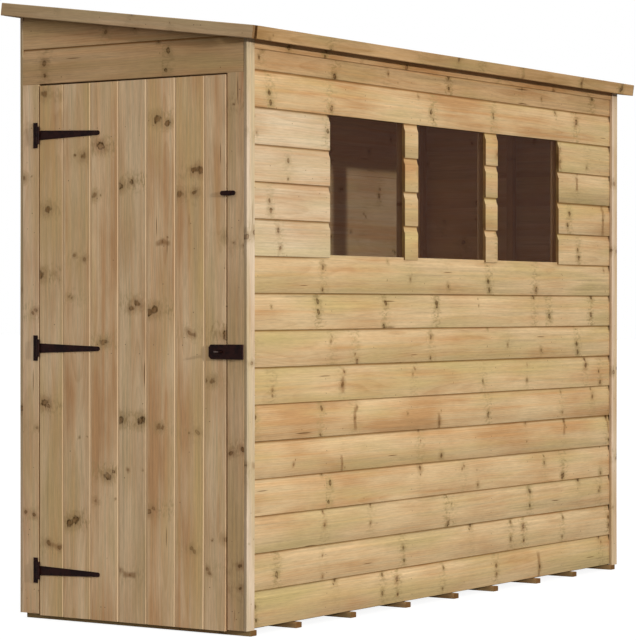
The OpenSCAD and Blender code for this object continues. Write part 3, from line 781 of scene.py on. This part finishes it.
def door_plank(width, first, last):
    """Section of a door board: its face edges are cut to a V, but those at the door's own edges are only eased."""
    low_in, low_deep = (door_ease, door_ease) if first else (groove_half, groove_d)
    high_in, high_deep = (door_ease, door_ease) if last else (groove_half, groove_d)
    half = width / 2
    face = [(low_in - half, 0), (half - high_in, 0), (half, -high_deep)]
    return face + [(half, -thick), (-half, -thick), (-half, -low_deep)]


planks = Lumber()
door_nails = Nails()
ledges = solids("door_ledges")
for i, row_w in enumerate(plank_ws):
    foot = Vector((low.x, low.y + sum(plank_ws[:i]) + row_w / 2, low.z))
    section = door_plank(row_w, i == 0, i == door_boards_n - 1)
    planks.lay(section, foot, foot + Z * (high.z - low.z), -X, door_warp)
    for ledge_low, ledge_high in ledges:
        for y, z in door_nail_spots:
            spot = foot.copy()
            spot.y += y * row_w
            spot.z = ledge_low.z + z * (ledge_high.z - ledge_low.z)
            door_nails.drive(spot, -X)
for vert in planks.mesh.verts:
    reach = abs(vert.co.z - hasp_z) / (high.z - hasp_z)
    latch = (high.y - vert.co.y) / (high.y - low.y)
    vert.co.x -= (bow_foot if vert.co.z < hasp_z else bow_head) * reach ** 2 * latch ** 3
planks.piece("door_planks", door_pine, "door", "door_end_boards", "door_boards")
stand_in(door_nails.mesh, "door_nails", nail_steel, "door", "black_metal")


# Ledges and braces: sawn pine across the back of the door, with two braces that rise from the hinge side.
# They are clenched to the boards.

brace_cut, brace_past = 0.08, 0.06

door_back = Lumber()
for ledge_low, ledge_high in ledges:
    door_back.timber(ledge_low, ledge_high, upright_ease)
for brace_low, brace_high in solids("door_braces"):
    width = brace_cut * math.cos(math.atan2(brace_high.y - brace_low.y - brace_cut, brace_high.z - brace_low.z))
    start = Vector((brace_high.x, brace_high.y - brace_cut / 2, brace_low.z))
    end = Vector((brace_high.x, brace_low.y + brace_cut / 2, brace_high.z))
    past = (end - start).normalized() * brace_past
    brace = Lumber()
    brace.lay(squared(width, brace_high.x - brace_low.x, upright_ease), start - past, end + past, X, 0.0)
    brace.trim(brace_high, Z)
    brace.trim(brace_low, -Z)
    name = "brace_low" if brace_low.z < hasp_z - brace_cut else "brace_high"
    brace.piece(name, frame_pine, "door", "frame_timber", "door_braces")
door_back.piece("ledges", frame_pine, "door", "frame_timber", "door_ledges")


# Tee hinges: black japanned steel, a tall plate screwed to the hinge board and a long tapered strap on the door.
# Round screw heads hold each one.

metal_edge, metal_corner = 0.0004, math.radians(50)
end_board_out, plate_t = 0.0121, 0.0025
metal_out = end_board_out + plate_t
screw_r, screw_rise, screw_sides = 0.0036, 0.0014, 12
screw_steps = ((1.0, 0.0), (0.94, 0.45), (0.72, 0.8), (0.36, 0.96), (0.16, 0.98), (0.12, 0.55))
screw_shares = (0.12, 0.5, 0.88)
knuckle_w = 0.0105
strap_screw_in, strap_screw_off = 0.02, 0.03


def japanned(name, glint_rub_x=None):
    """Black lacquer on rolled steel, with a fine orange-peel surface; past the rub line it is worn to pale bare
    steel, which also stands as a painted glint.
    """
    finish, metal, shader = new_finish(name)
    spot = metal.node("TexCoord", {}, {}, out="Object")
    peel = spot.stretch(900, 900, 900).cloud(2.0)
    worn = spot.stretch(60, 60, 60).cloud(4.0, 0.6)
    color = metal.mix(worn.fade(0.62, 0.4), dye(44, 21, 17), dye(26, 12, 11))
    if glint_rub_x is not None:
        # Pale bare steel past the rub line: wear, and also a painted glint.
        bare_glint = spot.parts()[0].fade(glint_rub_x - 0.001, glint_rub_x + 0.001)
        color = metal.mix(bare_glint * worn.fade(0.6, 0.35), color, dye(104, 90, 86))
    shader.inputs["Specular IOR Level"].default_value = 0.06
    return wire_up(finish, shader, color, worn * 0.25 + 0.3, peel, 0.00015)


black_metal = japanned("black japan")


def softened(node, body, finish=black_metal):
    """A metal CAD node with its sharp edges rolled over."""
    mesh = bmesh.new()
    mesh.from_mesh(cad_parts[node].data)
    bmesh.ops.remove_doubles(mesh, verts=mesh.verts, dist=1e-6)
    bmesh.ops.dissolve_limit(mesh, angle_limit=0.001, verts=mesh.verts, edges=mesh.edges)
    sharp = [e for e in mesh.edges if e.is_manifold and e.calc_face_angle(0) > metal_corner]
    bmesh.ops.bevel(
        mesh, geom=sharp, offset=metal_edge, offset_type="OFFSET", segments=1, affect="EDGES", clamp_overlap=True
    )
    return stand_in(mesh, node + "_metal", finish, body, "black_metal", node)


def screw(mesh, place, face):
    """A round screw head with a socket sunk in its middle."""
    turn = face.to_track_quat("Z", "Y").to_matrix().to_4x4()
    spot = Matrix.Translation(place) @ turn @ Matrix.Rotation(grade.uniform(0, math.tau), 4, "Z")
    rings = []
    for r, h in screw_steps:
        ring = []
        for k in range(screw_sides):
            a = math.tau * k / screw_sides
            point = Vector((screw_r * r * math.cos(a), screw_r * r * math.sin(a), screw_rise * h))
            ring.append(mesh.verts.new(spot @ point))
        rings.append(ring)
    for low_ring, high_ring in zip(rings, rings[1:]):
        for k in range(screw_sides):
            m = (k + 1) % screw_sides
            mesh.faces.new((low_ring[k], low_ring[m], high_ring[m], high_ring[k]))
    mesh.faces.new(rings[-1])


softened("hinge_plates", "shed")
softened("hinge_straps", "door")
plate_screws, strap_screws = bmesh.new(), bmesh.new()
for plate_low, plate_high in solids("hinge_plates"):
    y = (plate_low.y + knuckle_w + plate_high.y) / 2
    for share in screw_shares:
        z = plate_low.z + share * (plate_high.z - plate_low.z)
        screw(plate_screws, Vector((wall_low.x - metal_out, y, z)), -X)
for strap_low, strap_high in solids("hinge_straps"):
    z = (strap_low.z + strap_high.z) / 2
    for share in screw_shares:
        y = strap_high.y - strap_screw_in - share * (strap_high.y - strap_low.y - strap_screw_off)
        screw(strap_screws, Vector((wall_low.x - metal_out, y, z)), -X)


# Hasp, staple and turn button: black japanned steel on the door's latch side.
# The leaf is screwed to the latch board, its strap drops over the door's staple, and the button turns on one screw.

hasp_screw_sunk, hasp_screw_in = 0.0009, 0.014
hasp_shares, staple_shares = (0.2, 0.8), (0.16, 0.84)
staple_glint_rub = 0.004

softened("hasp_leaf", "shed")
softened("hasp_strap", "hasp")
softened("button_screw", "shed")
softened("turn_button", "turn_button")
staple_low, staple_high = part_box("hasp_staple")
# The staple's bend is worn bare where a padlock rubs it; its pale steel also paints a glint there.
softened("hasp_staple", "door", japanned("worn japan with glint", staple_low.x + staple_glint_rub))
metal_face = wall_low.x - metal_out + hasp_screw_sunk
for share in hasp_shares:
    z = hasp_low.z + share * (hasp_high.z - hasp_low.z)
    screw(plate_screws, Vector((metal_face, hasp_high.y - hasp_screw_in, z)), -X)
for share in staple_shares:
    z = staple_low.z + share * (staple_high.z - staple_low.z)
    screw(strap_screws, Vector((metal_face, (staple_low.y + staple_high.y) / 2, z)), -X)
stand_in(plate_screws, "plate_screws", black_metal, "shed", "black_metal")
stand_in(strap_screws, "strap_screws", black_metal, "door", "black_metal")
stand_in(wall_nails.mesh, "wall_nails", nail_steel, "shed", "black_metal")


# Ground: a plain pale floor that reads as white and keeps the shed's soft shadow.
# It is lit as the wood is, and glows only where it is looked at.

ground_half = 60
ground_tone, ground_glow = (0.2, 0.2, 0.2, 1.0), (0.88, 0.88, 0.88, 1.0)


def looked_at(wire):
    """One where a surface is seen straight, mirrored or through glass, and nothing where it only gives light."""
    path = wire.node("LightPath").socket.node
    rays = [Wire(wire.tree, path.outputs[f"Is {kind} Ray"]) for kind in ("Camera", "Glossy", "Transmission")]
    return wire.sum("MAXIMUM", rays[0], wire.sum("MAXIMUM", rays[1], rays[2]))


ground, sheet, shader = new_finish("pale floor")
shader.inputs["Base Color"].default_value = ground_tone
shader.inputs["Roughness"].default_value = 0.9
shader.inputs["Specular IOR Level"].default_value = 0.1
shader.inputs["Emission Strength"].default_value = 1.0
glow = sheet.mix(looked_at(sheet), (0.0, 0.0, 0.0, 1.0), ground_glow)
ground.node_tree.links.new(glow.socket, shader.inputs["Emission Color"])

mesh = bmesh.new()
bmesh.ops.create_grid(mesh, x_segments=1, y_segments=1, size=ground_half)
data = bpy.data.meshes.new("ground")
mesh.to_mesh(data)
mesh.free()
data.materials.append(ground)
floor = bpy.data.objects.new("ground", data)
bpy.context.scene.collection.objects.link(floor)


# Light: a soft white sky all round, and one low lamp in front of the window wall, a little to the door's side.
# The lamp is near enough for the wall to darken towards its far end, and the sky shows as plain white.

sky_level = 0.7
lamp_level = 2.0
lamp_far = 8.0
lamp_cone, lamp_blend = math.radians(60), 0.2
lamp_way = Vector((0.275, 0.951, -0.12))
lamp_spread = math.radians(2.0)

world = bpy.data.worlds.new("sky")
world.use_nodes = True
bpy.context.scene.world = world
sky = Wire(world.node_tree)
backdrop = world.node_tree.nodes["Background"]
white = sky.mix(looked_at(sky), (sky_level, sky_level, sky_level, 1.0), (1.0, 1.0, 1.0, 1.0))
world.node_tree.links.new(white.socket, backdrop.inputs["Color"])

lamp = bpy.data.lights.new("lamp", "SPOT")
lamp.energy = lamp_level * 4 * math.pi * lamp_far ** 2
lamp.spot_size = lamp_cone
lamp.spot_blend = lamp_blend
lamp.shadow_soft_size = lamp_far * math.tan(lamp_spread / 2)
lamp_stand = bpy.data.objects.new("lamp", lamp)
lamp_stand.location = (panes[0][0] + panes[0][1]) / 2 - lamp_way.normalized() * lamp_far
lamp_stand.rotation_euler = lamp_way.to_track_quat("-Z", "Y").to_euler()
bpy.context.scene.collection.objects.link(lamp_stand)


# Camera: stands off the door's corner at chest height, nearly level, with a long lens.
# Its place and turn were worked out from the joints of the boards.

image_h = 640
focal_px = 2557.77
film_h = 36.0
camera_place = Vector((-7.4278, -4.8481, 0.9856))
camera_yaw = math.radians(33.745)
camera_pitch = math.radians(-0.2908)
sight = 500

lens = bpy.data.cameras.new("camera")
lens.sensor_fit = "VERTICAL"
lens.sensor_height = film_h
lens.lens = focal_px * film_h / image_h
lens.clip_end = sight
camera = bpy.data.objects.new("camera", lens)
camera.location = camera_place
camera.rotation_euler = (math.pi / 2 + camera_pitch, 0, camera_yaw - math.pi / 2)
bpy.context.scene.collection.objects.link(camera)
bpy.context.scene.camera = camera
bpy.context.scene.view_settings.view_transform = "Standard"
